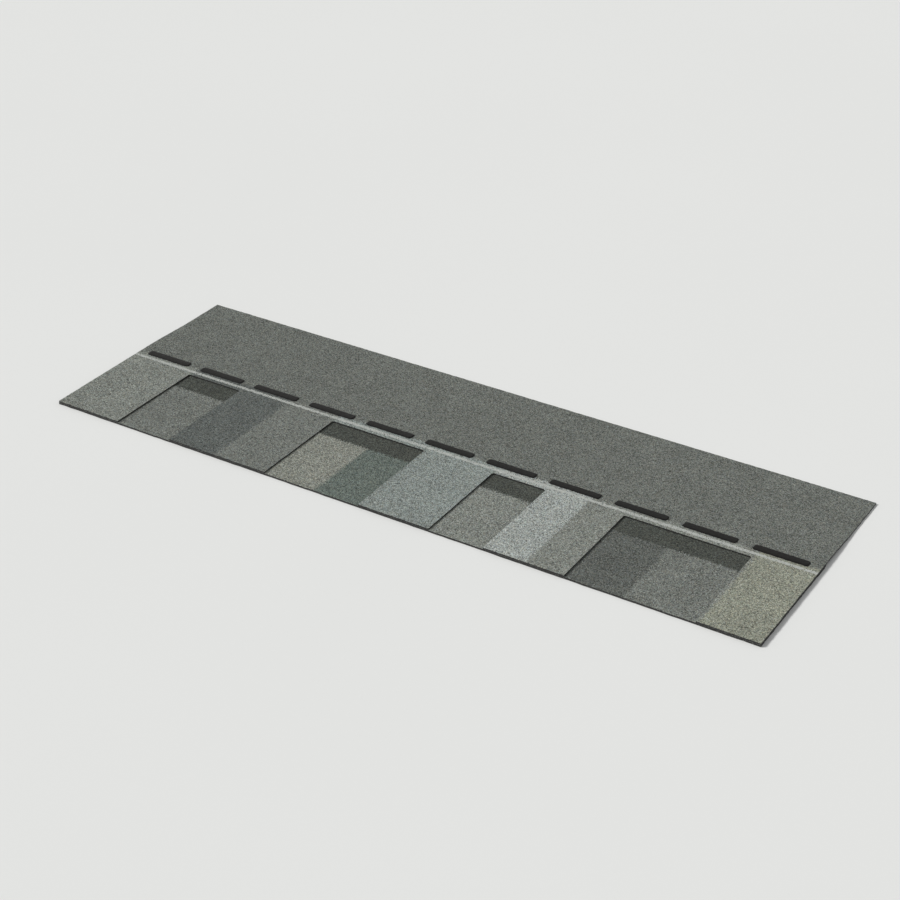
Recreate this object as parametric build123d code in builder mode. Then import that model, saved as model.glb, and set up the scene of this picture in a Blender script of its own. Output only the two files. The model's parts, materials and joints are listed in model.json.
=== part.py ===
"""Laminated asphalt roofing shingle, face up on a level floor.

A full-height overlay sheet, slotted along its lower edge into teeth, is bonded on a backer strip that
shows in the slots. A dashed line of sealant crosses the overlay, and a release film is pressed into
the back behind it. X runs along the butt edge, +Y up the slope, +Z away from the roof deck.
"""
from build123d import *
from math import atan, degrees, sin
import os

# Whole shingle, in millimetres
shingle_length = 1000.0
shingle_height = 337.0
exposure = 143.0  # height that stays in view once the next course is laid

# Overlay: the toothed top sheet, its granules included
overlay_thickness = 2.7
tooth_widths = (100.0, 150.0, 100.0, 107.0)  # from the left end, then over again
slot_widths = (85.0, 140.0, 75.0, 165.0)
least_end_tooth = 40.0  # the last tooth takes the length that is left, and never less
slot_overrun = 5.0  # the slots run on this far under the next course
slot_corner_radius = 2.0
sag_length = 100.0  # the headlap bends down to the floor over this stretch

# Backer: the strip under the teeth
backer_thickness = 2.5
backer_margin = 8.0  # it reaches this far above the sealant

# Sealant: heat-activated asphalt, printed in dashes
sealant_setback = 19.0  # from the exposure line to its lower edge
sealant_width = 12.0
sealant_thickness = 0.8
sealant_corner_radius = 4.0
sealant_crown_radius = 0.5
dash_length = 70.0
dash_gap = 20.0

# Release film: keeps the sealant of the next shingle in the pack from sticking
film_width = 20.0
film_thickness = 0.1

# Places that follow from the sizes above
butt_y = -shingle_height / 2
top_y = shingle_height / 2
slot_depth = exposure + slot_overrun
sealant_y = butt_y + exposure + sealant_setback + sealant_width / 2
backer_top_y = sealant_y + sealant_width / 2 + backer_margin
backer_height = backer_top_y - butt_y
face_z = backer_thickness + overlay_thickness  # the face above the backer


def slot_centres_and_widths():
    """Walks along the butt edge, tooth and slot in turn, and returns where each slot is and its width."""
    slots = []
    tooth_start = -shingle_length / 2
    turn = 0
    while True:
        slot_start = tooth_start + tooth_widths[turn % len(tooth_widths)]
        width = slot_widths[turn % len(slot_widths)]
        if slot_start + width + least_end_tooth > shingle_length / 2:
            return slots
        slots.append((slot_start + width / 2, width))
        tooth_start = slot_start + width
        turn += 1


# The overlay lies flat on the backer, then sags to the floor in two equal and opposite arcs.
sag_angle = 2 * atan(backer_thickness / sag_length)
sag_radius = sag_length / (2 * sin(sag_angle))

with BuildPart() as overlay_sheet:
    with BuildSketch(Plane.YZ):
        with BuildLine():
            on_backer = Line((butt_y, backer_thickness), (backer_top_y, backer_thickness))
            bend_down = JernArc(on_backer @ 1, on_backer % 1, sag_radius, -degrees(sag_angle))
            bend_back = JernArc(bend_down @ 1, bend_down % 1, sag_radius, degrees(sag_angle))
            on_floor = Line(bend_back @ 1, (top_y, 0))
            offset(amount=overlay_thickness, side=Side.LEFT)
        make_face()
    extrude(amount=shingle_length / 2, both=True)
    with BuildSketch(Plane.XY.offset(backer_thickness)):
        for centre_x, width in slot_centres_and_widths():
            with Locations((centre_x, butt_y)):
                Rectangle(width, slot_depth, align=(Align.CENTER, Align.MIN))
    extrude(amount=overlay_thickness, mode=Mode.SUBTRACT)
    slot_corners = overlay_sheet.edges().filter_by(Axis.Z).filter_by_position(
        Axis.Y, butt_y + slot_depth, butt_y + slot_depth
    )
    fillet(slot_corners, slot_corner_radius)

with BuildPart() as backer_strip:
    with BuildSketch():
        with Locations((0, butt_y)):
            Rectangle(shingle_length, backer_height, align=(Align.CENTER, Align.MIN))
    extrude(amount=backer_thickness)
    with BuildSketch():
        with Locations((0, sealant_y)):
            Rectangle(shingle_length, film_width)
    extrude(amount=film_thickness, mode=Mode.SUBTRACT)

with BuildPart() as release_film:
    with BuildSketch():
        with Locations((0, sealant_y)):
            Rectangle(shingle_length, film_width)
    extrude(amount=film_thickness)

dash_pitch = dash_length + dash_gap
dash_count = int((shingle_length + dash_gap) // dash_pitch)

with BuildPart() as sealant_dashes:
    with BuildSketch(Plane.XY.offset(face_z)):
        with Locations((0, sealant_y)):
            with GridLocations(dash_pitch, 0, dash_count, 1):
                RectangleRounded(dash_length, sealant_width, sealant_corner_radius)
    extrude(amount=sealant_thickness)
    crowns = sealant_dashes.faces().group_by(Axis.Z)[-1].edges()
    fillet(crowns, sealant_crown_radius)

os.makedirs("parts", exist_ok=True)
for name, piece in (
    ("overlay_sheet", overlay_sheet),
    ("backer_strip", backer_strip),
    ("sealant_dashes", sealant_dashes),
    ("release_film", release_film),
):
    piece.part.label = name
    export_step(piece.part, f"parts/{name}.step")
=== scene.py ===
"""Looks of one laminated asphalt roofing shingle, face up on a level floor.

The toothed overlay and the backer strip behind it are remodelled as slightly swelling sheets with worn cut
edges and a coat of crushed stone granules. Sealant dashes, release film, floor, lamp and camera follow.
"""

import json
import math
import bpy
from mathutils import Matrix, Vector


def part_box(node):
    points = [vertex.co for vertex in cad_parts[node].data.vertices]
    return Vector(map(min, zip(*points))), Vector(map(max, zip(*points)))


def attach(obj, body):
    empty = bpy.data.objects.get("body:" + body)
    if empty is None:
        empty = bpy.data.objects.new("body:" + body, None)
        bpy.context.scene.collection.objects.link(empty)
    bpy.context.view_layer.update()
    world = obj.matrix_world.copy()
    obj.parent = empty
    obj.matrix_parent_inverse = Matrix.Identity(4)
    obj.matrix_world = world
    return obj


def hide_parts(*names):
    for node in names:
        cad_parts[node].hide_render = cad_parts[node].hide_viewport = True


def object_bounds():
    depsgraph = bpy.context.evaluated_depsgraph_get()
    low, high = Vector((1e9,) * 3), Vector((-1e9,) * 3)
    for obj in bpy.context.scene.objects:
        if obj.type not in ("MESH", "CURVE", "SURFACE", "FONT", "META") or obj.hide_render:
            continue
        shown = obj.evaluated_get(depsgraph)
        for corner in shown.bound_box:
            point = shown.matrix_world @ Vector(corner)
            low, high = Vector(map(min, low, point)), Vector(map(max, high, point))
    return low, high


bl_info = {
    "name": "Laminated Asphalt Shingle",
    "version": (1, 0, 0),
    "blender": (4, 5, 0),
    "location": "3D View > Sidebar > Shingle",
    "description": "Dresses the packed model of a laminated roofing shingle",
    "category": "Object",
}

import bmesh
import bpy
from bpy.props import FloatProperty, FloatVectorProperty, IntProperty, PointerProperty
from bpy.types import Operator, Panel, PropertyGroup
from mathutils import Vector

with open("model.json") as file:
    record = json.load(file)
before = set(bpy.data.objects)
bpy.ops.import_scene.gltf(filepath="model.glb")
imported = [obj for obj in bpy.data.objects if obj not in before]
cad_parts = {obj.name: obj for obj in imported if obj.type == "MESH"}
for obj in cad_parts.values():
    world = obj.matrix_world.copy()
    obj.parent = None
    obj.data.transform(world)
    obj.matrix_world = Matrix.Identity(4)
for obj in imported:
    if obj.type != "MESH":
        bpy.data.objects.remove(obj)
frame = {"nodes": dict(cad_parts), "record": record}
cad_low, cad_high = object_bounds()

MM = 0.001
SLOT_BOX_CLEARANCE = 0.5 * MM  # how far a stated slot box stays inside its slot, at each side
SLOT_BOX_SETBACK = 1.0 * MM  # and at the slot's top
EXPOSURE = 143 * MM
NAIL_LINE_HEIGHT = 156 * MM  # above the butt edge
NAIL_LINE_WIDTH = 5 * MM
HEADLAP_HEIGHT = 165 * MM  # the headlap's plainer blend starts here
SHADOW_WIDTH = 27 * MM  # of the dark band that the slots show below the exposure line
SLOT_CORNER = 2 * MM  # how far a slot's upper corners are filled in
EDGE_ROOM = 0.4 * MM  # left round the sheets for the granules that overhang a cut edge
FACE_ROOM = 0.6 * MM  # left over the overlay's coat for the granules that stand proud of it
STONES = 4  # shapes of granule
STONE_SHAPE = (1.0, 0.9, 0.85)  # a granule's length, width and height beside its size
STONE_ROUGHNESS = 0.12  # how far its corners stray, beside its size
STONE_SIZES = (0.72, 1.2)  # the smallest and the largest one, beside the size that is set
PLACES_TRIED = 4  # for granules, on each square of their spacing
COVER_REACH = 20 * MM  # how far below a cover no granule lies
CELL_SHARE = 0.7  # of a cell of the granules' map, across, that its granule fills
SMOOTH_ANGLE = math.radians(50)  # bends of the sealant up to this look round
FLOOR_DROP = 0.1 * MM  # keeps the floor clear of the back
CLOSE = 1e-6  # places nearer to each other than this, in metres, are one
COAT, CUT, BACK = range(3)  # a sheet's material slots

# What each sheet shows, from the left end: where each colour ends, in mm from the shingle's middle
OVERLAY_PATCHES = (
    (-400, "mid_grey"),
    (-243, "slate"),
    (-165, "ash_grey"),
    (75, "sea_grey"),
    (207, "pale_grey"),
    (422, "mid_grey"),
    (500, "olive"),
)
BACKER_PATCHES = (
    (-315, "ash_grey"),
    (-90, "warm_grey"),
    (60, "bottle_green"),
    (200, "mid_grey"),
    (330, "charcoal"),
    (500, "ash_grey"),
)
# Stretches above the butt edge, with the colour that covers the patches there
OVERLAY_ZONES = ((HEADLAP_HEIGHT, 1.0, "headlap"),)
BACKER_ZONES = ((EXPOSURE - SHADOW_WIDTH, 1.0, "shadow"),)
# Painted lines, by their middle above the butt edge and their width
OVERLAY_LINES = ((NAIL_LINE_HEIGHT, NAIL_LINE_WIDTH, "nail_paint"),)
OVERLAY_LOOK = (OVERLAY_PATCHES, OVERLAY_ZONES, OVERLAY_LINES)
BACKER_LOOK = (BACKER_PATCHES, BACKER_ZONES, ())


def linear(*display):
    """An 8-bit display colour as Blender's linear one."""
    return tuple(((c / 255 + 0.055) / 1.055) ** 2.4 if c > 10 else c / 255 / 12.92 for c in display)


def colour(name, description, *display):
    """A colour that a user can change."""
    return FloatVectorProperty(name=name, description=description, subtype="COLOR", size=3, min=0.0, max=1.0,
                               default=linear(*display))


def length(name, description, default):
    """A length that a user can change."""
    return FloatProperty(name=name, description=description, unit="LENGTH", precision=5, min=0.0,
                         default=default)


class SheetSettings(PropertyGroup):
    """How the two sheets are divided, swell and wear."""

    overlay_cell: length("Overlay Cell", "Width of a face on the overlay", 4.0 * MM)
    backer_cell: length("Backer Cell", "Width of a face on the backer", 4.0 * MM)
    swell: length("Swell", "How far the sheets lift off the floor in places", 0.25 * MM)
    swell_length: length("Swell Length", "Distance from one swell to the next", 90 * MM)
    edge_wear: length("Edge Wear", "How ragged the cut edges are", 0.35 * MM)
    relief: length("Relief", "Height of the coat's unevenness", 0.2 * MM)
    relief_length: length("Relief Length", "Width of the coat's bumps", 9 * MM)


class GranuleSettings(PropertyGroup):
    """The crushed stone granules that stand proud of the coat."""

    size: length("Size", "Width of a coarse granule", 1.8 * MM)
    fine_share: FloatProperty(name="Fine Share", description="Width of a fine granule beside a coarse one",
                              subtype="FACTOR", min=0.1, max=1.0, default=0.78)
    sunk: length("Sunk", "How deep the granules are pressed into the asphalt", 0.12 * MM)
    edge_gap: length("Edge Gap", "Least distance from a granule's middle to a cut edge", 0.5 * MM)
    tilt: FloatProperty(name="Tilt", description="How far the granules lie askew", subtype="ANGLE",
                        default=math.radians(26))
    tooth_spacing: length("Tooth Spacing", "Least distance between granules on the teeth", 1.22 * MM)
    slot_spacing: length("Slot Spacing", "Least distance between granules in the slots", 1.32 * MM)
    headlap_spacing: length("Headlap Spacing", "Least distance between granules on the headlap", 1.66 * MM)
    seed: IntProperty(name="Seed", description="Changes where every granule lies", min=0, default=7)


class ColourSettings(PropertyGroup):
    """The colours of the granule blends, the asphalt and the film."""

    mid_grey: colour("Mid Grey", "Plain blend of both sheets", 123, 125, 119)
    ash_grey: colour("Ash Grey", "Darker plain blend of both sheets", 110, 112, 107)
    warm_grey: colour("Warm Grey", "Blend of the lightest slot", 128, 129, 121)
    pale_grey: colour("Pale Grey", "Blend of the lightest tooth", 148, 151, 147)
    slate: colour("Slate", "Blend of the dark tooth", 92, 95, 92)
    bottle_green: colour("Bottle Green", "Blend of the green slot", 98, 105, 99)
    olive: colour("Olive", "Blend of the accent tooth", 133, 134, 122)
    sea_grey: colour("Sea Grey", "Blend of the blue-green tooth", 128, 133, 129)
    charcoal: colour("Charcoal", "Blend of the dark slot", 91, 93, 89)
    shadow: colour("Shadow", "Band across the top of each slot", 70, 72, 67)
    headlap: colour("Headlap", "Blend under the next course", 102, 104, 99)
    nail_paint: colour("Nail Paint", "Painted line for the nails", 160, 162, 157)
    asphalt: colour("Asphalt", "Cut edges and sealant", 24, 23, 22)
    sand: colour("Sand", "Mineral dust on the back", 120, 116, 108)
    film: colour("Film", "Release film on the back", 70, 72, 74)


class SealantSettings(PropertyGroup):
    """The printed dashes of sealant."""

    dash_length: length("Dash Length", "Length of a dash", 70 * MM)
    dash_pitch: length("Dash Pitch", "Distance from one dash to the next", 90 * MM)
    corner: length("Corner", "Radius of a dash's corners", 4 * MM)
    cell: length("Cell", "Length of a face along a dash", 2.5 * MM)
    shoulder: length("Shoulder", "Width of a dash's sloping rim", 1.1 * MM)
    spread: length("Spread", "How far the asphalt ran past its printed outline", 0.45 * MM)
    unevenness: length("Unevenness", "How far a dash's surface rises and falls", 0.3 * MM)


class StageSettings(PropertyGroup):
    """The floor, the lamp and the camera."""

    floor_size: length("Floor Size", "Width of the floor", 60.0)
    floor_colour: colour("Floor Colour", "Floor under the shingle", 226, 226, 223)
    sky_colour: colour("Sky Colour", "Light from all round", 250, 252, 255)
    sky_strength: FloatProperty(name="Sky Strength", description="Light from all round", min=0.0,
                                default=0.45)
    key_strength: FloatProperty(name="Key Strength", description="Strength of the lamp", min=0.0,
                                default=3.0)
    key_softness: FloatProperty(name="Key Softness", description="Width of the lamp", subtype="ANGLE",
                                default=math.radians(14))
    key_place: FloatVectorProperty(name="Key Place", description="Where the lamp shines from",
                                   subtype="TRANSLATION", size=3, default=(-2.1, -1.2, 1.9))
    azimuth: FloatProperty(name="Azimuth", description="Side the camera looks from", subtype="ANGLE",
                           default=math.radians(32))
    elevation: FloatProperty(name="Elevation", description="Height the camera looks from", subtype="ANGLE",
                             default=math.radians(31))
    lens: FloatProperty(name="Lens", description="Focal length", unit="CAMERA", min=1.0, default=77.0)
    distance: length("Distance", "From the camera to the shingle", 2.42)


SETTINGS = {
    "shingle_sheets": SheetSettings,
    "shingle_granules": GranuleSettings,
    "shingle_colours": ColourSettings,
    "shingle_sealant": SealantSettings,
    "shingle_stage": StageSettings,
}


class Wiring:
    """A node tree, with short ways to add nodes that are fed by sockets or by plain values."""

    def __init__(self, tree, prefix="ShaderNode"):
        self.tree = tree
        self.prefix = prefix

    def node(self, kind, inputs=(), **settings):
        """Adds a node, sets it and feeds its inputs."""
        made = self.tree.nodes.new(self.prefix + kind)
        for key, value in settings.items():
            setattr(made, key, value)
        for socket, value in dict(inputs).items():
            self.feed(made.inputs[socket], value)
        return made

    def feed(self, socket, value):
        """Links a socket to another one, or sets it to a plain value."""
        if isinstance(value, bpy.types.NodeSocket):
            self.tree.links.new(value, socket)
        else:
            socket.default_value = value

    def split(self, vector):
        """The three numbers of a vector."""
        made = self.tree.nodes.new("ShaderNodeSeparateXYZ")
        self.feed(made.inputs["Vector"], vector)
        return made.outputs

    def math(self, operation, *values, clamp=False):
        """The result of a sum, product or comparison."""
        made = self.tree.nodes.new("ShaderNodeMath")
        made.operation = operation
        made.use_clamp = clamp
        for socket, value in zip(made.inputs, values):
            self.feed(socket, value)
        return made.outputs[0]

    def inside(self, value, low, high):
        """1 where the value is between the two others, and 0 elsewhere."""
        above = self.math("GREATER_THAN", value, low)
        return self.math("MULTIPLY", above, self.math("LESS_THAN", value, high))

    def between(self, value, low, high, to_low=0.0, to_high=1.0, kind="LINEAR"):
        """Maps low..high to to_low..to_high."""
        made = self.tree.nodes.new("ShaderNodeMapRange")
        made.interpolation_type = kind
        made.clamp = True
        numbers = {"Value": value, "From Min": low, "From Max": high, "To Min": to_low, "To Max": to_high}
        for name, number in numbers.items():
            self.feed(made.inputs[name], number)
        return made.outputs["Result"]

    def mix(self, share, first, second, blend="MIX"):
        """The first colour, with a share of the second in or over it."""
        made = self.tree.nodes.new("ShaderNodeMix")
        made.data_type = "RGBA"
        made.blend_type = blend
        self.feed(made.inputs["Factor"], share)
        self.feed(made.inputs["A"], first if isinstance(first, bpy.types.NodeSocket) else (*first, 1.0))
        self.feed(made.inputs["B"], second if isinstance(second, bpy.types.NodeSocket) else (*second, 1.0))
        return made.outputs["Result"]

    def ramp(self, value, stops, kind="CONSTANT"):
        """The colour that a value has on a ramp of (place, colour) stops."""
        made = self.tree.nodes.new("ShaderNodeValToRGB")
        made.color_ramp.interpolation = kind
        elements = made.color_ramp.elements
        while len(elements) < len(stops):
            elements.new(1.0)
        for element, (place, shade) in zip(elements, stops):
            element.position = place
            element.color = (*shade, 1.0)
        self.feed(made.inputs["Fac"], value)
        return made.outputs["Color"]


class Finish(Wiring):
    """A new material's node tree, which ends in a Principled shader."""

    def __init__(self, name):
        self.material = bpy.data.materials.new(name)
        self.material.use_nodes = True
        super().__init__(self.material.node_tree)

    def here(self):
        """Places on the object."""
        return self.node("TexCoord").outputs["Object"]

    def cells(self, place, width, **settings):
        """The outputs of a pattern of cells, each about this wide."""
        return self.node("TexVoronoi", {"Vector": place, "Scale": 1 / width}, **settings).outputs

    def noise(self, place, scale, detail):
        """Cloudy noise, from 0 to 1."""
        return self.node("TexNoise", {"Vector": place, "Scale": scale, "Detail": detail}).outputs["Fac"]

    def stretched(self, place, scale):
        """Places for a pattern that is drawn out along the axes whose scale is under 1."""
        return self.node("Mapping", {"Vector": place, "Scale": scale}).outputs["Vector"]

    def surface(self, shade, roughness, specular=0.5):
        """Feeds the shader its colour, its roughness and how strongly it reflects."""
        sockets = self.tree.nodes["Principled BSDF"].inputs
        self.feed(sockets["Base Color"], shade)
        self.feed(sockets["Roughness"], roughness)
        self.feed(sockets["Specular IOR Level"], specular)

    def relief(self, height, strength, depth):
        """Gives the shader bumps."""
        bump = self.node("Bump", {"Height": height, "Strength": strength, "Distance": depth})
        self.feed(self.tree.nodes["Principled BSDF"].inputs["Normal"], bump.outputs["Normal"])


def scaled(shade, share):
    """A colour made brighter or darker."""
    return tuple(channel * share for channel in shade)


def grey(level):
    """A grey of this level."""
    return (level,) * 3


# Brightness of the granules beside their blend's colour: where each level starts, in shares of them all.
# Most are brighter than it, because the gaps and shaded sides between them bring the whole back to it.
BRIGHTNESS = ((0.0, 0.5), (0.14, 0.95), (0.34, 1.35), (0.60, 1.7), (0.82, 2.05), (0.94, 2.5))
BRIGHTEST = max(share for _, share in BRIGHTNESS)
# How they are tinted, the same way
TINTS = (
    (0.0, (1.0, 1.0, 1.0)),
    (0.55, (1.05, 1.0, 0.92)),
    (0.7, (0.94, 1.02, 0.97)),
    (0.85, (0.93, 0.99, 1.06)),
)
STRONGEST_TINT = max(max(shares) for _, shares in TINTS)
MOTTLE = ((0.3, 0.88), (0.7, 1.0))  # levels of a slow noise over the face, with the brightness there
MOTTLE_SCALE = 22.0
PATCH_RAGGEDNESS = 2.2 * MM  # how far granules of one patch strayed into the next
PAINT_BRIGHTNESS = 1.45  # of painted granules, beside the paint's own: their facets shade each other
PAINT_COVER = 0.85  # share of the granules that the paint reached
STONE_GLOSS = 0.2  # how strongly granules reflect: less than most things, with 0.5
COAT_STONE = 1.15 * MM  # width of the granules packed in the coat
# Gaps between the coat's granules are darkened: partly the dark asphalt there, partly painted shade in the
# recesses
GAP_ASPHALT_AND_PAINTED_SHADE = 0.5  # brightness of the gaps between them


def patch_colour(w, x, patches, colours):
    """The blend at a place along the butt edge."""
    span = cad_high.x - cad_low.x
    starts = [0.0] + [(end * MM - cad_low.x) / span for end, _ in patches[:-1]]
    stops = [(start, getattr(colours, name)) for start, (_, name) in zip(starts, patches)]
    return w.ramp(w.between(x, cad_low.x, cad_high.x), stops)


def granule_shade(w, shade, place, level_dice, tint_dice):
    """A blend's colour as one granule shows it, brighter or darker and tinted by its dice."""
    mottle = w.noise(place, MOTTLE_SCALE, 3.0)
    slow = w.ramp(mottle, [(start, grey(share)) for start, share in MOTTLE], "LINEAR")
    tint = w.ramp(tint_dice, [(start, scaled(shares, 1 / STRONGEST_TINT)) for start, shares in TINTS])
    level = w.ramp(level_dice, [(start, grey(share / BRIGHTEST)) for start, share in BRIGHTNESS])
    for factor in (slow, tint, level, grey(STRONGEST_TINT * BRIGHTEST)):
        shade = w.mix(1.0, shade, factor, "MULTIPLY")
    return shade


def blend_colour(w, place, dice, look, colours):
    """The colour of the granule at a place, by the patch, zone or line there and its dice."""
    patches, zones, lines = look
    x, y, _ = w.split(place)
    level_dice, stray_dice, tint_dice = w.split(dice)
    stray = w.between(stray_dice, 0, 1, -PATCH_RAGGEDNESS, PATCH_RAGGEDNESS)
    shade = patch_colour(w, w.math("ADD", x, stray), patches, colours)
    above_butt = w.math("SUBTRACT", y, cad_low.y)
    for start, end, name in zones:
        covered = w.inside(w.math("ADD", above_butt, stray), start, end)
        shade = w.mix(covered, shade, getattr(colours, name))
    shade = granule_shade(w, shade, place, level_dice, tint_dice)
    for middle, width, name in lines:
        on_line = w.math("COMPARE", above_butt, middle, width / 2)
        painted = w.math("MULTIPLY", on_line, w.math("LESS_THAN", stray_dice, PAINT_COVER))
        shade = w.mix(painted, shade, scaled(getattr(colours, name), PAINT_BRIGHTNESS))
    return shade


def coat_material(name, look, colours):
    """The packed granule coat, seen between the granules that stand proud of it."""
    w = Finish(name)
    here = w.here()
    cells = w.cells(here, COAT_STONE, voronoi_dimensions="2D")
    edge = w.cells(here, COAT_STONE, voronoi_dimensions="2D", feature="DISTANCE_TO_EDGE")["Distance"]
    shade = blend_colour(w, cells["Position"], cells["Color"], look, colours)
    # The gaps between the granules get a darker copy of the blend: asphalt showing, and painted shade
    on_stone = w.between(edge, 0.0, 0.12, kind="SMOOTHSTEP")
    shade = w.mix(on_stone, w.mix(1.0, shade, grey(GAP_ASPHALT_AND_PAINTED_SHADE), "MULTIPLY"), shade)
    w.surface(shade, roughness=0.88, specular=STONE_GLOSS)
    grit = w.noise(here, 1 / (0.5 * MM), 2.0)
    height = w.math("ADD", w.between(edge, 0.0, 0.35), w.math("MULTIPLY", grit, 0.35))
    w.relief(height, strength=0.7, depth=0.35 * MM)
    return w.material


def granule_material(name, look, colours):
    """The granules that stand proud, each in one colour of its patch's blend."""
    w = Finish(name)
    home = w.node("Attribute", attribute_name="home").outputs["Vector"]
    dice = w.node("Attribute", attribute_name="dice").outputs["Vector"]
    w.surface(blend_colour(w, home, dice, look, colours), roughness=0.82, specular=STONE_GLOSS)
    return w.material


def cut_material(colours):
    """A cut edge: black asphalt that the blade dragged downwards, with a few broken granules in it."""
    stone_share = 0.06
    w = Finish("cut_asphalt")
    here = w.here()
    dice, _, tone = w.split(w.cells(here, 0.6 * MM)["Color"])
    broken = w.mix(tone, scaled(colours.charcoal, 0.5), colours.mid_grey)
    streaks = w.noise(w.stretched(here, (1.0, 1.0, 0.2)), 1 / (0.5 * MM), 3.0)
    lumps = w.noise(here, 1 / (1.5 * MM), 5.0)
    smeared = w.mix(w.between(streaks, 0.45, 0.8, 0.0, 0.3), colours.asphalt, colours.charcoal)
    shade = w.mix(w.math("GREATER_THAN", dice, 1 - stone_share), smeared, broken)
    w.surface(shade, roughness=w.between(lumps, 0.3, 0.7, 0.5, 0.9))
    height = w.math("ADD", w.math("MULTIPLY", streaks, 0.5), lumps)
    w.relief(height, strength=0.9, depth=0.5 * MM)
    return w.material


def back_material(colours):
    """The back: asphalt dusted with fine sand so that the shingles don't stick in the pack."""
    least_cover, most_cover = 0.35, 0.8
    w = Finish("sanded_back")
    here = w.here()
    grains = w.cells(here, 0.55 * MM)
    dice, tone, _ = w.split(grains["Color"])
    cover = w.between(w.noise(here, 14.0, 5.0), 0.3, 0.7, least_cover, most_cover)
    sanded = w.math("LESS_THAN", dice, cover)
    sand = w.mix(tone, scaled(colours.sand, 0.45), colours.sand)
    roughness = w.between(sanded, 0.0, 1.0, 0.55, 0.9)
    w.surface(w.mix(sanded, colours.asphalt, sand), roughness)
    height = w.math("MULTIPLY", sanded, w.math("SUBTRACT", 1.0, grains["Distance"]))
    w.relief(height, strength=0.6, depth=0.3 * MM)
    return w.material


def sealant_material(colours):
    """Heat-activated asphalt: black and satin, with a skin that pulls a little as it cools."""
    w = Finish("satin_asphalt")
    skin = w.noise(w.here(), 1 / (3 * MM), 4.0)
    shade = w.mix(skin, colours.asphalt, scaled(colours.asphalt, 0.4))
    w.surface(shade, roughness=w.between(skin, 0.3, 0.7, 0.3, 0.5), specular=0.12)
    w.relief(skin, strength=0.5, depth=0.4 * MM)
    return w.material


def film_material(colours):
    """Clear polyester film pressed into the asphalt, which shows dark and glossy through it."""
    w = Finish("polyester_film")
    crinkle = w.noise(w.stretched(w.here(), (0.15, 1.0, 1.0)), 1 / (6 * MM), 3.0)
    w.surface(w.mix(crinkle, colours.film, scaled(colours.film, 0.6)), roughness=0.16)
    w.relief(crinkle, strength=0.3, depth=0.3 * MM)
    return w.material


def floor_material(stage):
    """The plain pale floor."""
    w = Finish("floor_paint")
    mottle = w.noise(w.here(), 1.2, 2.0)
    shade = w.mix(mottle, stage.floor_colour, scaled(stage.floor_colour, 0.97))
    w.surface(shade, roughness=0.75, specular=0.1)
    return w.material


def material_once(name, make, *arguments):
    """The material of that name, made the first time that it is asked for."""
    return bpy.data.materials.get(name) or make(*arguments)


def slot_boxes():
    """The lowest and highest corner of each slot's box, from the packed record's openings."""
    return [opening["box_m"] for opening in frame["record"]["physics"]["openings"]]


def slot_spans():
    """Where each slot starts and ends along the butt edge."""
    return sorted((low[0] - SLOT_BOX_CLEARANCE, high[0] + SLOT_BOX_CLEARANCE) for low, high in slot_boxes())


def slot_top():
    """How far up the slots reach."""
    return max(high[1] for _, high in slot_boxes()) + SLOT_BOX_SETBACK


def deselect_all():
    """Leaves nothing selected and nothing in edit mode."""
    if bpy.context.object is not None and bpy.context.object.mode != "OBJECT":
        bpy.ops.object.mode_set(mode="OBJECT")
    bpy.ops.object.select_all(action="DESELECT")


def only(piece):
    """Makes one object the selected, active one."""
    deselect_all()
    piece.select_set(True)
    bpy.context.view_layer.objects.active = piece


def add_sheet(name, low, high, z):
    """A flat rectangle from one corner to the other, as a new object that is left in edit mode."""
    deselect_all()
    middle = (low + high) / 2
    bpy.ops.mesh.primitive_plane_add(size=1.0, location=(middle.x, middle.y, z))
    piece = bpy.context.object
    piece.name = piece.data.name = name
    bpy.ops.transform.resize(value=(high.x - low.x, high.y - low.y, 1.0))
    bpy.ops.object.transform_apply(location=True, rotation=True, scale=True)
    bpy.ops.object.mode_set(mode="EDIT")
    return piece


def cut_across(axis, places):
    """Cuts the sheet in edit mode along straight lines, at these places on an axis."""
    normal = Vector((axis == 0, axis == 1, 0))
    for place in places:
        bpy.ops.mesh.select_all(action="SELECT")
        bpy.ops.mesh.bisect(plane_co=normal * place, plane_no=normal)


def choose(piece, domain, test):
    """Selects the edit mesh's faces, edges or vertices that pass a test, and returns how many there are."""
    bpy.ops.mesh.select_all(action="DESELECT")
    bpy.ops.mesh.select_mode(type={"faces": "FACE", "edges": "EDGE", "verts": "VERT"}[domain])
    mesh = bmesh.from_edit_mesh(piece.data)
    found = [element for element in getattr(mesh, domain) if test(element)]
    for element in found:
        element.select_set(True)
    mesh.select_flush_mode()
    bmesh.update_edit_mesh(piece.data)
    return len(found)


def divide(piece, axis, cell):
    """Divides each band of faces into strips across an axis, none wider than a cell."""
    mesh = bmesh.from_edit_mesh(piece.data)
    lines = sorted({round(vertex.co[axis], 6) for vertex in mesh.verts})
    for start, end in zip(lines, lines[1:]):
        strips = math.ceil((end - start) / cell - CLOSE)
        if strips < 2:
            continue

        def runs_across(edge):
            """Tells whether an edge leads from one side of the band to the other."""
            ends = sorted(vertex.co[axis] for vertex in edge.verts)
            return abs(ends[0] - start) < CLOSE and abs(ends[1] - end) < CLOSE

        choose(piece, "edges", runs_across)
        bpy.ops.mesh.subdivide(number_cuts=strips - 1)


def texture(name, kind, scale, **settings):
    """A procedural height field for a Displace modifier."""
    made = bpy.data.textures.get(name) or bpy.data.textures.new(name, kind)
    made.noise_scale = scale
    for key, value in settings.items():
        setattr(made, key, value)
    return made


def apply_modifier(piece, kind, **settings):
    """Adds a modifier, sets it and applies it."""
    only(piece)
    bpy.ops.object.modifier_add(type=kind)
    modifier = piece.modifiers[-1]
    for key, value in settings.items():
        setattr(modifier, key, value)
    bpy.ops.object.modifier_apply(modifier=modifier.name)


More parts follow.
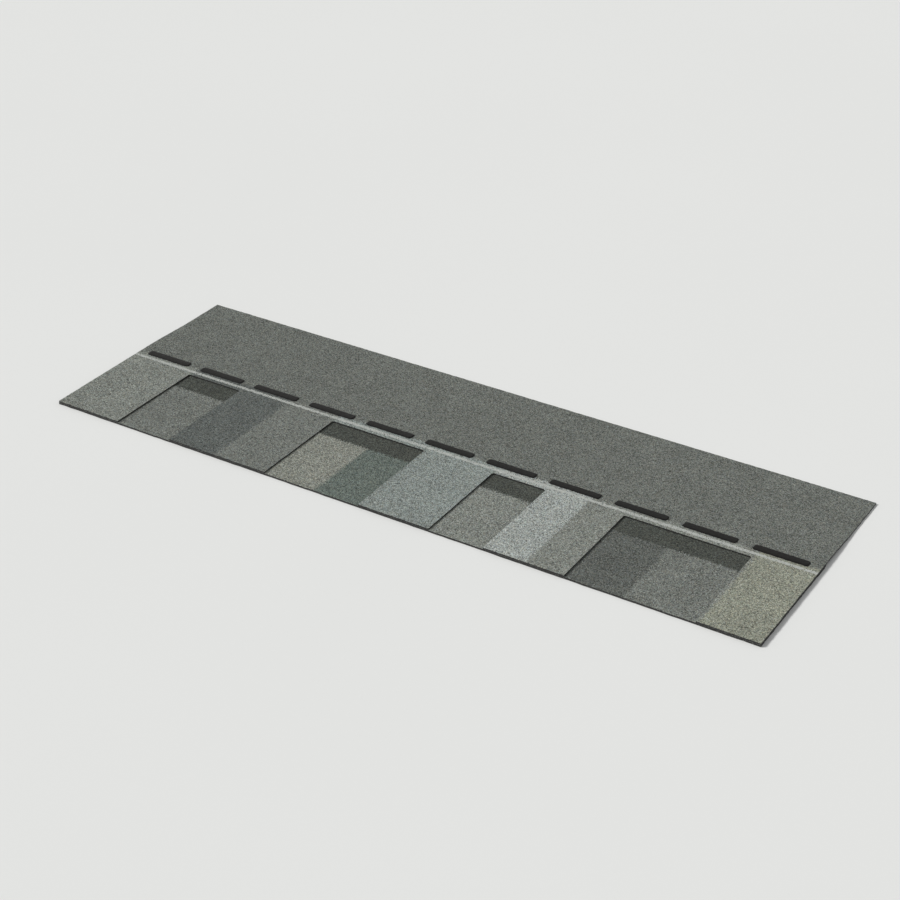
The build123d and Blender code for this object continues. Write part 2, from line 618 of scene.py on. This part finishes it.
def swell(piece, sheets):
    """Lifts the piece where the shingle has swollen. All pieces share one field, so they stay seated."""
    field = texture("swell", "CLOUDS", sheets.swell_length, noise_depth=1)
    apply_modifier(piece, "DISPLACE", texture=field, strength=sheets.swell, mid_level=0.0, direction="Z",
                   texture_coords="LOCAL")


def wear_edges(piece, offset, seed):
    """Moves the flat sheet's outline a little, in its plane, so that it looks torn and not drawn."""
    choose(piece, "verts", lambda vertex: vertex.is_boundary)
    height = next(vertex.co.z for vertex in bmesh.from_edit_mesh(piece.data).verts)
    bpy.ops.transform.vertex_random(offset=offset, uniform=0.4, seed=seed)
    bpy.ops.transform.resize(value=(1, 1, 0), center_override=(0, 0, height))


def roughen_coat(piece, sheets):
    """Gives the coat its uneven surface. The outline stays where the cut left it."""
    group = piece.vertex_groups.new(name="coat")
    cut = {v for p in piece.data.polygons if p.material_index != COAT for v in p.vertices}
    top = [v for p in piece.data.polygons if p.material_index == COAT for v in p.vertices if v not in cut]
    group.add(sorted(set(top)), 1.0, "REPLACE")
    field = texture("coat", "STUCCI", sheets.relief_length, turbulence=6.0)
    apply_modifier(piece, "DISPLACE", texture=field, strength=sheets.relief, mid_level=0.5, direction="Z",
                   texture_coords="LOCAL", vertex_group=group.name)
    piece.vertex_groups.clear()


def thicken(piece, thickness, coat, colours):
    """Turns the sheet into a slab below its face, with cut edges and a back."""
    bpy.ops.object.mode_set(mode="OBJECT")
    piece.data.materials.append(coat)
    piece.data.materials.append(material_once("cut_asphalt", cut_material, colours))
    piece.data.materials.append(material_once("sanded_back", back_material, colours))
    apply_modifier(piece, "SOLIDIFY", thickness=thickness, offset=-1.0, use_even_offset=False,
                   material_offset=BACK, material_offset_rim=CUT)


def forget_frame(piece):
    """Frees a copy from what its original said of bodies and nodes."""
    for key in [key for key in piece.keys() if key.startswith("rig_")]:
        del piece[key]
    piece.parent = None


def finish_piece(piece, slot, *nodes):
    """Attaches the piece to the root body and hides the CAD nodes that it stands for; the slot is not used.
    """
    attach(piece, "root")
    if nodes:
        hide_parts(*nodes)


def cut_slots(piece, spans, top):
    """Cuts the slots out of the flat sheet in edit mode, with their upper corners filled in."""

    def juts_out(vertex):
        """Tells whether a vertex is where the fill of a slot's corner sticks out into the slot."""
        x, y, _ = vertex.co
        return abs(y - (top - SLOT_CORNER)) < SLOT_CORNER / 10 and any(
            min(abs(x - start - SLOT_CORNER), abs(x - end + SLOT_CORNER)) < SLOT_CORNER / 10
            for start, end in spans)

    def in_slot(face):
        """Tells whether a face is in a slot and not in the fill of its corners."""
        middle = face.calc_center_median()
        for start, end in spans:
            if start < middle.x < end and middle.y < top:
                near_side = middle.x - start < SLOT_CORNER or end - middle.x < SLOT_CORNER
                return not (near_side and top - middle.y < SLOT_CORNER)
        return False

    for start, end in spans:
        cut_across(0, (start, start + SLOT_CORNER, end - SLOT_CORNER, end))
    cut_across(1, (top - SLOT_CORNER, top))
    choose(piece, "faces", in_slot)
    bpy.ops.mesh.delete(type="FACE")
    choose(piece, "verts", juts_out)
    bpy.ops.mesh.dissolve_verts()


class SHINGLE_OT_overlay(Operator):
    """Models the toothed overlay sheet over the packed one"""

    bl_idname = "shingle.overlay"
    bl_label = "Overlay Sheet"

    def execute(self, context):
        sheets, colours = context.scene.shingle_sheets, context.scene.shingle_colours
        low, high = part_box("overlay_sheet")
        thickness = high.z - FACE_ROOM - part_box("backer_strip")[1].z
        inset = Vector((EDGE_ROOM, EDGE_ROOM, 0))
        piece = add_sheet("toothed_overlay", low + inset, high - inset, high.z)
        cut_slots(piece, slot_spans(), slot_top())
        divide(piece, 0, sheets.overlay_cell)
        divide(piece, 1, sheets.overlay_cell)
        wear_edges(piece, sheets.edge_wear, seed=3)
        bpy.ops.object.mode_set(mode="OBJECT")
        apply_modifier(piece, "SHRINKWRAP", target=frame["nodes"]["overlay_sheet"])
        apply_modifier(piece, "DISPLACE", strength=-FACE_ROOM, mid_level=0.0, direction="Z")
        swell(piece, sheets)
        thicken(piece, thickness, coat_material("overlay_coat", OVERLAY_LOOK, colours), colours)
        roughen_coat(piece, sheets)
        finish_piece(piece, "overlay_granules", "overlay_sheet")
        return {"FINISHED"}


class SHINGLE_OT_backer(Operator):
    """Models the backer strip over the packed one"""

    bl_idname = "shingle.backer"
    bl_label = "Backer Strip"

    def execute(self, context):
        sheets, colours = context.scene.shingle_sheets, context.scene.shingle_colours
        low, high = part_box("backer_strip")
        inset = Vector((EDGE_ROOM, EDGE_ROOM, 0))
        piece = add_sheet("coated_backer", low + inset, high - inset, high.z)
        divide(piece, 0, sheets.backer_cell)
        divide(piece, 1, sheets.backer_cell)
        wear_edges(piece, sheets.edge_wear, seed=5)
        bpy.ops.object.mode_set(mode="OBJECT")
        swell(piece, sheets)
        thicken(piece, high.z - low.z, coat_material("backer_coat", BACKER_LOOK, colours), colours)
        roughen_coat(piece, sheets)
        finish_piece(piece, "backer_granules", "backer_strip")
        return {"FINISHED"}


def crush_stones(size, count):
    """Models a few crushed stones of eight faces, each lying on one of them and mapped from above.

    A pyramid's underside is drawn out to a second point, and the double pyramid is rolled onto a face.
    """
    stones = []
    for number in range(count):
        deselect_all()
        bpy.ops.mesh.primitive_cone_add(
            vertices=4, radius1=size / 2, depth=size / 2, end_fill_type="TRIFAN", calc_uvs=False,
            location=(0, 0, size / 4), rotation=(0, 0, math.pi / 4),
        )
        bpy.ops.object.transform_apply(location=True, rotation=True, scale=True)
        stone = bpy.context.object
        stone.name = stone.data.name = f"stone_{number}"
        bpy.ops.object.mode_set(mode="EDIT")
        choose(stone, "verts", lambda vertex: vertex.co.length < size / 100)
        bpy.ops.transform.translate(value=(0, 0, -size / 2))
        bpy.ops.mesh.select_all(action="SELECT")
        bpy.ops.transform.rotate(value=math.atan(math.sqrt(2)), orient_axis="Y", center_override=(0, 0, 0))
        bpy.ops.transform.resize(value=STONE_SHAPE)
        bpy.ops.transform.vertex_random(offset=size * STONE_ROUGHNESS, seed=number)
        bpy.ops.object.mode_set(mode="OBJECT")
        chart = stone.data.uv_layers.new(name="OFBake")
        for loop in stone.data.loops:
            place = stone.data.vertices[loop.vertex_index].co / size
            chart.data[loop.index].uv = (place.x + 0.5, place.y + 0.5)
        stones.append(stone)
    return stones


def random_value(g, kind, low, high, seed):
    """A node that throws dice for each point or granule, between two numbers or vectors."""
    made = g.tree.nodes.new("FunctionNodeRandomValue")
    made.data_type = kind
    for name, value in (("Min", low), ("Max", high), ("Seed", seed)):
        g.feed(made.inputs[name], value)
    return made.outputs["Value"]


def without(g, geometry, unwanted):
    """The geometry with its unwanted elements taken out."""
    return g.node("DeleteGeometry", {"Geometry": geometry, "Selection": unwanted}).outputs["Geometry"]


def granule_places(g, sheet, settings, spacing, span, cover, share):
    """Points spread evenly over a sheet's coat, clear of its cut edges, and not under the cover."""
    _, y, _ = g.split(g.node("InputPosition").outputs["Position"])
    surface = g.node("InputMaterialIndex").outputs["Material Index"]
    on_coat = g.math("COMPARE", surface, COAT, 0.5)
    points = g.node("DistributePointsOnFaces", {
        "Mesh": sheet, "Selection": g.math("MULTIPLY", on_coat, g.inside(y, *span)),
    }, distribute_method="POISSON")
    for name, value in (
        ("Distance Min", spacing),
        ("Density Max", PLACES_TRIED / spacing**2),
        ("Seed", settings.seed),
    ):
        g.feed(points.inputs[name], value)
    places = points.outputs["Points"]
    if cover is not None:
        lid = g.node("ObjectInfo", {"Object": cover}).outputs["Geometry"]
        upwards = {"Target Geometry": lid, "Ray Direction": (0, 0, 1), "Ray Length": COVER_REACH}
        ray = g.node("Raycast", upwards)
        places = without(g, places, ray.outputs["Is Hit"])
    on_rim = g.math("COMPARE", surface, CUT, 0.5)
    rim = g.node("SeparateGeometry", {"Geometry": sheet, "Selection": on_rim}, domain="FACE")
    near = g.node("Proximity", {"Geometry": rim.outputs["Selection"]}, target_element="FACES")
    places = without(g, places, g.math("LESS_THAN", near.outputs["Distance"], settings.edge_gap))
    lot = random_value(g, "FLOAT", 0.0, 1.0, settings.seed + 4)
    places = without(g, places, g.math("SUBTRACT", 1.0, g.inside(lot, *share)))
    return g.node("SetPosition", {"Geometry": places, "Offset": (0, 0, -settings.sunk)}).outputs["Geometry"]


def lay_stones(g, places, stones, settings, size):
    """Lays a stone at each place, turned, tilted and sized by dice, and notes its place, dice and number."""
    heap = g.node("JoinGeometry")
    for stone in stones:
        single = g.node("ObjectInfo", {"Object": stone, "As Instance": True}).outputs["Geometry"]
        g.tree.links.new(single, heap.inputs["Geometry"])
    turn = g.tree.nodes.new("FunctionNodeEulerToRotation")
    tilt = settings.tilt
    angles = random_value(g, "FLOAT_VECTOR", (-tilt, -tilt, 0), (tilt, tilt, math.tau), settings.seed + 1)
    g.feed(turn.inputs["Euler"], angles)
    smallest, largest = ((share * size,) * 3 for share in STONE_SIZES)
    laid = g.node("InstanceOnPoints", {
        "Points": places,
        "Instance": heap.outputs["Geometry"],
        "Pick Instance": True,
        "Instance Index": random_value(g, "INT", 0, len(stones) - 1, settings.seed),
        "Rotation": turn.outputs["Rotation"],
        "Scale": random_value(g, "FLOAT_VECTOR", smallest, largest, settings.seed + 2),
    }).outputs["Instances"]
    for label, kind, value in (
        ("home", "FLOAT_VECTOR", g.node("InputPosition").outputs["Position"]),
        ("dice", "FLOAT_VECTOR", random_value(g, "FLOAT_VECTOR", (0, 0, 0), (1, 1, 1), settings.seed + 3)),
        ("number", "FLOAT", g.node("InputIndex").outputs["Index"]),
    ):
        noted = {"Geometry": laid, "Name": label, "Value": value}
        laid = g.node("StoreNamedAttribute", noted, data_type=kind, domain="INSTANCE").outputs["Geometry"]
    return laid


def give_cells(g, laid):
    """Makes the stones one mesh, each with a cell of the map to itself, so that a bake holds its colour."""
    count = g.node("AttributeDomainSize", {"Geometry": laid}, component="INSTANCES").outputs["Instance Count"]
    across = g.math("CEIL", g.math("SQRT", count))
    mesh = g.node("RealizeInstances", {"Geometry": laid}).outputs["Geometry"]
    number = g.node("InputNamedAttribute", {"Name": "number"}, data_type="FLOAT").outputs["Attribute"]
    chart = g.node("InputNamedAttribute", {"Name": "OFBake"}, data_type="FLOAT_VECTOR").outputs["Attribute"]
    row = g.math("FLOOR", g.math("DIVIDE", g.math("ADD", number, 0.5), across))
    column = g.math("SUBTRACT", number, g.math("MULTIPLY", row, across))
    u, v, _ = g.split(chart)
    place = g.tree.nodes.new("ShaderNodeCombineXYZ")
    for axis, start, within in (("X", column, u), ("Y", row, v)):
        inset = g.math("MULTIPLY_ADD", within, CELL_SHARE, (1 - CELL_SHARE) / 2)
        g.feed(place.inputs[axis], g.math("DIVIDE", g.math("ADD", start, inset), across))
    mapped = {"Geometry": mesh, "Name": "OFBake", "Value": place.outputs["Vector"]}
    return g.node("StoreNamedAttribute", mapped, data_type="FLOAT2", domain="CORNER").outputs["Geometry"]


def scatter(name, sheet, stones, settings, spacing, span, cover=None, share=(-1.0, 2.0), size=1.0):
    """Scatters granules over a sheet's coat, as one piece of their own.

    The span is the stretch up the slope that they lie on. No granule lies under the cover, if there is one.
    Each granule throws a dice from 0 to 1, and the piece holds those that land within the share. The size is
    beside the stones' own.
    """
    tree = bpy.data.node_groups.new(name, "GeometryNodeTree")
    tree.interface.new_socket("Geometry", in_out="INPUT", socket_type="NodeSocketGeometry")
    tree.interface.new_socket("Geometry", in_out="OUTPUT", socket_type="NodeSocketGeometry")
    g = Wiring(tree, "GeometryNode")
    start = tree.nodes.new("NodeGroupInput").outputs["Geometry"]
    places = granule_places(g, start, settings, spacing, span, cover, share)
    result = give_cells(g, lay_stones(g, places, stones, settings, size))
    g.feed(tree.nodes.new("NodeGroupOutput").inputs["Geometry"], result)
    only(sheet)
    bpy.ops.object.duplicate()
    piece = bpy.context.object
    piece.name = piece.data.name = name
    forget_frame(piece)
    apply_modifier(piece, "NODES", node_group=tree)
    return piece


class SHINGLE_OT_granules(Operator):
    """Scatters crushed stone granules over both sheets"""

    bl_idname = "shingle.granules"
    bl_label = "Granules"

    def execute(self, context):
        settings, colours = context.scene.shingle_granules, context.scene.shingle_colours
        overlay, backer = bpy.data.objects["toothed_overlay"], bpy.data.objects["coated_backer"]
        stones = crush_stones(settings.size, STONES)
        headlap_start = cad_low.y + HEADLAP_HEIGHT
        teeth = {"spacing": settings.tooth_spacing, "span": (cad_low.y, headlap_start)}
        headlap = {"spacing": settings.headlap_spacing, "span": (headlap_start, cad_high.y)}
        coarse, fine = {"share": (-1.0, 0.5)}, {"share": (0.5, 2.0), "size": settings.fine_share}
        slots = {"spacing": settings.slot_spacing, "span": (cad_low.y, cad_high.y), "cover": overlay}
        on_overlay = granule_material("overlay_stone", OVERLAY_LOOK, colours)
        on_backer = granule_material("backer_stone", BACKER_LOOK, colours)
        for name, sheet, material, slot, layout in (
            ("tooth_granules_coarse", overlay, on_overlay, "overlay_granules", teeth | coarse),
            ("tooth_granules_fine", overlay, on_overlay, "overlay_granules", teeth | fine),
            ("headlap_granules_coarse", overlay, on_overlay, "overlay_granules", headlap | coarse),
            ("headlap_granules_fine", overlay, on_overlay, "overlay_granules", headlap | fine),
            ("slot_granules", backer, on_backer, "backer_granules", slots),
        ):
            piece = scatter(name, sheet, stones, settings, **layout)
            piece.data.materials.clear()
            piece.data.materials.append(material)
            finish_piece(piece, slot)
        for stone in stones:
            bpy.data.objects.remove(stone)
        return {"FINISHED"}


def print_dash(number, low, high, sealant):
    """Models one dash of sealant: a rounded patch that ran a little, with a sloping rim and a flat middle."""
    dash = add_sheet(f"dash_{number}", low, high, low.z)
    bpy.ops.mesh.select_all(action="SELECT")
    bpy.ops.mesh.bevel(offset=sealant.corner, segments=4, affect="VERTICES")
    strips = math.ceil((high.x - low.x) / sealant.cell)
    cut_across(0, [low.x + (high.x - low.x) * strip / strips for strip in range(1, strips)])
    wear_edges(dash, sealant.spread, seed=20 + number)
    bpy.ops.mesh.select_mode(type="FACE")
    bpy.ops.mesh.select_all(action="SELECT")
    rise = high.z - low.z
    # The rim rises steeply, then gently, and stays low enough to leave room for the unevenness
    for width, share in ((sealant.shoulder / 2, 0.5), (sealant.shoulder, 0.2)):
        bpy.ops.mesh.inset(thickness=width, depth=rise * share)
    bpy.ops.object.mode_set(mode="OBJECT")
    field = texture("sealant", "CLOUDS", 2 * sealant.shoulder)
    apply_modifier(dash, "DISPLACE", texture=field, strength=sealant.unevenness, mid_level=0.5, direction="Z",
                   texture_coords="LOCAL")
    # The coat lies this far below the packed face that the dash was drawn on
    apply_modifier(dash, "SOLIDIFY", thickness=FACE_ROOM, offset=-1.0, use_even_offset=False)
    return dash


class SHINGLE_OT_sealant(Operator):
    """Prints the sealant dashes over the packed ones"""

    bl_idname = "shingle.sealant"
    bl_label = "Sealant Dashes"

    def execute(self, context):
        sealant, sheets = context.scene.shingle_sealant, context.scene.shingle_sheets
        low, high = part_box("sealant_dashes")
        count = round((high.x - low.x - sealant.dash_length) / sealant.dash_pitch) + 1
        dashes = []
        for number in range(count):
            start = low.x + number * sealant.dash_pitch
            corner = Vector((start + sealant.dash_length, high.y, high.z))
            dashes.append(print_dash(number, Vector((start, low.y, low.z)), corner, sealant))
        only(dashes[0])
        for dash in dashes:
            dash.select_set(True)
        bpy.ops.object.join()
        piece = bpy.context.object
        piece.name = piece.data.name = "printed_sealant"
        swell(piece, sheets)
        bpy.ops.object.shade_smooth_by_angle(angle=SMOOTH_ANGLE)
        piece.data.materials.append(sealant_material(context.scene.shingle_colours))
        finish_piece(piece, "sealant_asphalt", "sealant_dashes")
        return {"FINISHED"}


class SHINGLE_OT_film(Operator):
    """Finishes the release film on the back"""

    bl_idname = "shingle.film"
    bl_label = "Release Film"

    def execute(self, context):
        node = frame["nodes"]["release_film"]
        node.data.materials.clear()
        node.data.materials.append(film_material(context.scene.shingle_colours))
        return {"FINISHED"}


def aim(thing, place, target):
    """Puts the lamp or the camera at a place, facing a target."""
    thing.location = place
    thing.rotation_euler = (Vector(target) - Vector(place)).to_track_quat("-Z", "Y").to_euler()


def light_studio(scene, stage):
    """Lights the scene evenly from all round, and shows a backdrop as pale as the floor."""
    world = scene.world or bpy.data.worlds.new("studio")
    scene.world = world
    world.use_nodes = True
    w = Wiring(world.node_tree)
    sky = world.node_tree.nodes["Background"]
    sky.inputs["Color"].default_value = (*stage.sky_colour, 1.0)
    sky.inputs["Strength"].default_value = stage.sky_strength
    backdrop = w.node("Background", {"Color": (*stage.floor_colour, 1.0), "Strength": 1.0})
    rays = w.node("LightPath").outputs
    seen = w.math("ADD", rays["Is Camera Ray"], rays["Is Glossy Ray"])
    seen = w.math("ADD", seen, rays["Is Transmission Ray"], clamp=True)
    both = w.node("MixShader", {"Fac": seen})
    w.feed(both.inputs[1], sky.outputs["Background"])
    w.feed(both.inputs[2], backdrop.outputs["Background"])
    w.feed(world.node_tree.nodes["World Output"].inputs["Surface"], both.outputs["Shader"])


class SHINGLE_OT_stage(Operator):
    """Sets the floor, the light and the camera"""

    bl_idname = "shingle.stage"
    bl_label = "Stage"

    def execute(self, context):
        stage = context.scene.shingle_stage
        deselect_all()
        bpy.ops.mesh.primitive_plane_add(size=stage.floor_size, location=(0, 0, -FLOOR_DROP))
        floor = context.object
        floor.name = "floor"
        floor.data.materials.append(floor_material(stage))
        light_studio(context.scene, stage)
        bpy.ops.object.light_add(type="SUN")
        key = context.object
        key.name = "key_lamp"
        key.data.energy = stage.key_strength
        key.data.angle = stage.key_softness
        aim(key, stage.key_place, (0, 0, 0))
        bpy.ops.object.camera_add()
        camera = context.object
        camera.data.lens = stage.lens
        target = (cad_low + cad_high) / 2
        flat = math.cos(stage.elevation)
        across, along = math.sin(stage.azimuth) * flat, -math.cos(stage.azimuth) * flat
        aim(camera, target + Vector((across, along, math.sin(stage.elevation))) * stage.distance, target)
        context.scene.camera = camera
        context.scene.view_settings.view_transform = "Standard"
        return {"FINISHED"}


class SHINGLE_PT_panel(Panel):
    """Lists the steps that dress the shingle, and their sizes and colours"""

    bl_idname = "SHINGLE_PT_panel"
    bl_label = "Laminated Shingle"
    bl_space_type = "VIEW_3D"
    bl_region_type = "UI"
    bl_category = "Shingle"

    def draw(self, context):
        for step in STEPS:
            self.layout.operator(step.bl_idname)
        for name, settings in SETTINGS.items():
            box = self.layout.box()
            box.label(text=settings.__doc__)
            for key in settings.__annotations__:
                box.prop(getattr(context.scene, name), key)


STEPS = (
    SHINGLE_OT_overlay,
    SHINGLE_OT_backer,
    SHINGLE_OT_granules,
    SHINGLE_OT_sealant,
    SHINGLE_OT_film,
    SHINGLE_OT_stage,
)


def register():
    """Adds the settings, steps and panel to Blender."""
    for made in (*SETTINGS.values(), *STEPS, SHINGLE_PT_panel):
        bpy.utils.register_class(made)
    for name, settings in SETTINGS.items():
        setattr(bpy.types.Scene, name, PointerProperty(type=settings))


def unregister():
    """Takes them away again."""
    for name in SETTINGS:
        delattr(bpy.types.Scene, name)
    for made in reversed((*SETTINGS.values(), *STEPS, SHINGLE_PT_panel)):
        bpy.utils.unregister_class(made)


def main():
    """Runs the steps in order."""
    register()
    for step in STEPS:
        family, name = step.bl_idname.split(".")
        getattr(getattr(bpy.ops, family), name)()


if __name__ == "__main__":
    main()
